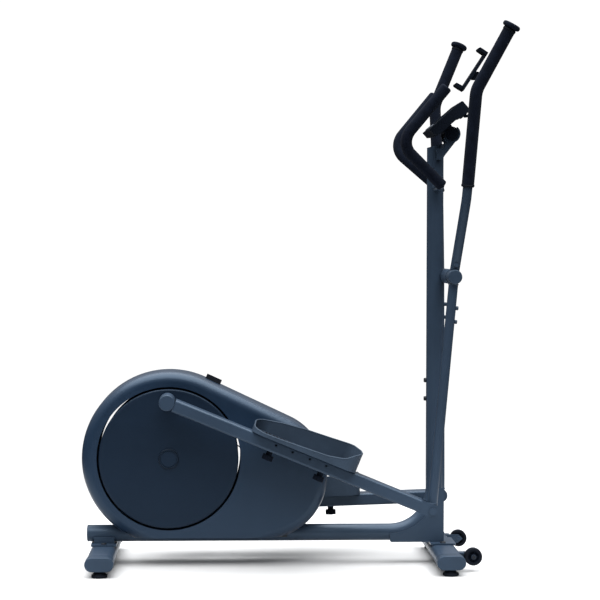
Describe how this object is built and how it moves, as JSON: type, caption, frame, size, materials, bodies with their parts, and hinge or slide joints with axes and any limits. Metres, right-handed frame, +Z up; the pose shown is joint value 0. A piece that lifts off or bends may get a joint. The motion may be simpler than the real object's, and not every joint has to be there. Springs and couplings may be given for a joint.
{
  "type": "elliptical trainer",
  "caption": "Elliptical trainer with a bent tube base, rear crank discs in a rounded housing, swinging pedal bars and arms, fixed bars, console and tablet holder.",
  "frame": {"origin": "centre of the footprint, on the floor", "axes": "+X forward, the way the rider faces; +Y to the rider's left; +Z up"},
  "size_m": [1.2549, 0.6734, 1.5966],
  "materials": {
    "frame_paint": "fine satin powder coat",
    "housing_plastic": "satin moulded plastic",
    "disc_plastic": "satin moulded plastic",
    "cap_plastic": "satin moulded plastic",
    "black_plastic": "fine grained",
    "button_plastic": "soft touch",
    "foam": "closed cell foam",
    "foot_rubber": "moulded",
    "wheel_rubber": "moulded",
    "black_steel": "black finish",
    "bright_steel": "turned",
    "iron": "machined rim",
    "screen": "gloss window"
  },
  "bodies": {
    "frame": {"base_tube": "frame_paint", "frame_brackets": "frame_paint", "rear_stabiliser": "frame_paint", "front_stabiliser": "frame_paint", "end_caps": "cap_plastic", "fasteners": "black_steel", "wheel_brackets": "frame_paint", "mast": "frame_paint", "pivot_tube": "frame_paint", "pivot_shaft": "bright_steel", "fixed_bars": "frame_paint", "fixed_grips": "foam", "housing_right": "housing_plastic", "housing_left": "housing_plastic", "housing_tag": "black_plastic", "drive_support": "black_steel", "bearings": "bright_steel", "drive_belt": "foot_rubber", "console_bracket": "frame_paint"},
    "foot_rear_right": {"foot_rear_right": "foot_rubber"},
    "foot_rear_left": {"foot_rear_left": "foot_rubber"},
    "foot_front_right": {"foot_front_right": "foot_rubber"},
    "foot_front_left": {"foot_front_left": "foot_rubber"},
    "wheel_right": {"wheel_right": "wheel_rubber"},
    "wheel_left": {"wheel_left": "wheel_rubber"},
    "crank": {"crank_axle": "bright_steel", "crank_pulley": "black_plastic", "crank_discs": "disc_plastic", "disc_caps": "cap_plastic"},
    "flywheel": {"flywheel": "iron"},
    "idler_arm": {"idler_arm": "black_steel"},
    "idler_pulley": {"idler_pulley": "black_plastic"},
    "magnet_bracket": {"magnet_bracket": "black_steel"},
    "console": {"console_back": "black_plastic", "console_face": "black_plastic", "console_screen": "screen", "tablet_stem": "black_plastic"},
    "button_right": {"button_right": "button_plastic"},
    "button_middle": {"button_middle": "button_plastic"},
    "button_left": {"button_left": "button_plastic"},
    "tablet_rail": {"tablet_rail": "black_plastic"},
    "tablet_jaw": {"tablet_jaw": "black_plastic"},
    "arm_right": {"lower_arm_right": "frame_paint", "handlebar_right": "frame_paint", "hand_grip_right": "foam", "arm_hardware_right": "black_steel"},
    "pedal_right": {"pedal_bar_right": "frame_paint", "pedal_pins_right": "bright_steel"},
    "foot_plate_right": {"foot_plate_right": "cap_plastic"},
    "knob_rear_right": {"knob_rear_right": "black_plastic"},
    "knob_front_right": {"knob_front_right": "black_plastic"},
    "arm_left": {"lower_arm_left": "frame_paint", "handlebar_left": "frame_paint", "hand_grip_left": "foam", "arm_hardware_left": "black_steel"},
    "pedal_left": {"pedal_bar_left": "frame_paint", "pedal_pins_left": "bright_steel"},
    "foot_plate_left": {"foot_plate_left": "cap_plastic"},
    "knob_rear_left": {"knob_rear_left": "black_plastic"},
    "knob_front_left": {"knob_front_left": "black_plastic"}
  },
  "joints": [
    {"name": "flywheel_spin", "type": "hinge", "parent": "frame", "child": "flywheel", "pos_m": [-0.047, 0, 0.2475], "axis": [0, 1, 0], "continuous": true},
    {"name": "crank_spin", "type": "hinge", "parent": "frame", "child": "crank", "pos_m": [-0.377, 0, 0.321], "axis": [0, 1, 0], "continuous": true},
    {"name": "idler_swing", "type": "hinge", "parent": "frame", "child": "idler_arm", "pos_m": [-0.15, 0, 0.15], "axis": [0, 1, 0], "range_deg": [-8, 0]},
    {"name": "idler_spin", "type": "hinge", "parent": "idler_arm", "child": "idler_pulley", "pos_m": [-0.19, 0, 0.192], "axis": [0, 1, 0], "continuous": true},
    {"name": "magnet_swing", "type": "hinge", "parent": "frame", "child": "magnet_bracket", "pos_m": [-0.06818, 0, 0.36765], "axis": [0, 1, 0], "range_deg": [-4, 0]},
    {"name": "arm_right_swing", "type": "hinge", "parent": "frame", "child": "arm_right", "pos_m": [0.454, -0.175, 0.86], "axis": [0, 1, 0], "range_deg": [-15, 15]},
    {"name": "pedal_right_tilt", "type": "hinge", "parent": "arm_right", "child": "pedal_right", "pos_m": [0.39205, -0.175, 0.17931], "axis": [0, 1, 0], "range_deg": [-15, 15]},
    {"name": "foot_plate_right_slide", "type": "slide", "parent": "pedal_right", "child": "foot_plate_right", "axis": [0.9252, 0, -0.3795], "range_m": [-0.052, 0.052]},
    {"name": "knob_rear_right_turn", "type": "hinge", "parent": "pedal_right", "child": "knob_rear_right", "pos_m": [-0.07988, -0.17, 0.35287], "axis": [0.3795, 0, 0.9252], "continuous": true},
    {"name": "knob_front_right_turn", "type": "hinge", "parent": "pedal_right", "child": "knob_front_right", "pos_m": [0.06815, -0.17, 0.29216], "axis": [0.3795, 0, 0.9252], "continuous": true},
    {"name": "arm_left_swing", "type": "hinge", "parent": "frame", "child": "arm_left", "pos_m": [0.454, 0.175, 0.86], "axis": [0, 1, 0], "range_deg": [-15, 15]},
    {"name": "pedal_left_tilt", "type": "hinge", "parent": "arm_left", "child": "pedal_left", "pos_m": [0.45758, 0.175, 0.17651], "axis": [0, 1, 0], "range_deg": [-15, 15]},
    {"name": "foot_plate_left_slide", "type": "slide", "parent": "pedal_left", "child": "foot_plate_left", "axis": [0.9994, 0, 0.034], "range_m": [-0.052, 0.052]},
    {"name": "knob_rear_left_turn", "type": "hinge", "parent": "pedal_left", "child": "knob_rear_left", "pos_m": [-0.044, 0.17, 0.14092], "axis": [-0.034, 0, 0.9994], "continuous": true},
    {"name": "knob_front_left_turn", "type": "hinge", "parent": "pedal_left", "child": "knob_front_left", "pos_m": [0.11591, 0.17, 0.14637], "axis": [-0.034, 0, 0.9994], "continuous": true},
    {"name": "foot_rear_right_turn", "type": "hinge", "parent": "frame", "child": "foot_rear_right", "pos_m": [-0.57, -0.24, 0.02], "axis": [0, 0, 1], "continuous": true},
    {"name": "foot_rear_left_turn", "type": "hinge", "parent": "frame", "child": "foot_rear_left", "pos_m": [-0.57, 0.24, 0.02], "axis": [0, 0, 1], "continuous": true},
    {"name": "foot_front_right_turn", "type": "hinge", "parent": "frame", "child": "foot_front_right", "pos_m": [0.44, -0.24, 0.02], "axis": [0, 0, 1], "continuous": true},
    {"name": "foot_front_left_turn", "type": "hinge", "parent": "frame", "child": "foot_front_left", "pos_m": [0.44, 0.24, 0.02], "axis": [0, 0, 1], "continuous": true},
    {"name": "wheel_right_spin", "type": "hinge", "parent": "frame", "child": "wheel_right", "pos_m": [0.514, -0.172, 0.043], "axis": [0, 1, 0], "continuous": true},
    {"name": "wheel_left_spin", "type": "hinge", "parent": "frame", "child": "wheel_left", "pos_m": [0.514, 0.172, 0.043], "axis": [0, 1, 0], "continuous": true},
    {"name": "console_tilt", "type": "hinge", "parent": "frame", "child": "console", "pos_m": [0.462, 0, 1.284], "axis": [0, 1, 0], "range_deg": [-12, 12]},
    {"name": "tablet_tilt", "type": "hinge", "parent": "console", "child": "tablet_rail", "pos_m": [0.551, 0, 1.46], "axis": [0, 1, 0], "range_deg": [-15, 15]},
    {"name": "tablet_jaw_slide", "type": "slide", "parent": "tablet_rail", "child": "tablet_jaw", "axis": [0.5446, 0, 0.8387], "range_m": [0, 0.035], "stiffness_N_per_m": 150, "springref_m": -0.02},
    {"name": "button_right_press", "type": "slide", "parent": "console", "child": "button_right", "axis": [0.6561, 0, -0.7547], "range_m": [0, 0.002], "stiffness_N_per_m": 400, "springref_m": -0.001},
    {"name": "button_middle_press", "type": "slide", "parent": "console", "child": "button_middle", "axis": [0.6561, 0, -0.7547], "range_m": [0, 0.002], "stiffness_N_per_m": 400, "springref_m": -0.001},
    {"name": "button_left_press", "type": "slide", "parent": "console", "child": "button_left", "axis": [0.6561, 0, -0.7547], "range_m": [0, 0.002], "stiffness_N_per_m": 400, "springref_m": -0.001}
  ],
  "couplings": [
    {"joint": "crank_spin", "follows": "flywheel_spin", "ratio": 0.11539},
    {"joint": "idler_spin", "follows": "flywheel_spin", "ratio": -0.83333},
    {"joint": "arm_left_swing", "follows": "arm_right_swing", "ratio": -1},
    {"joint": "pedal_right_tilt", "follows": "arm_right_swing", "ratio": -1},
    {"joint": "pedal_left_tilt", "follows": "arm_right_swing", "ratio": 1}
  ]
}
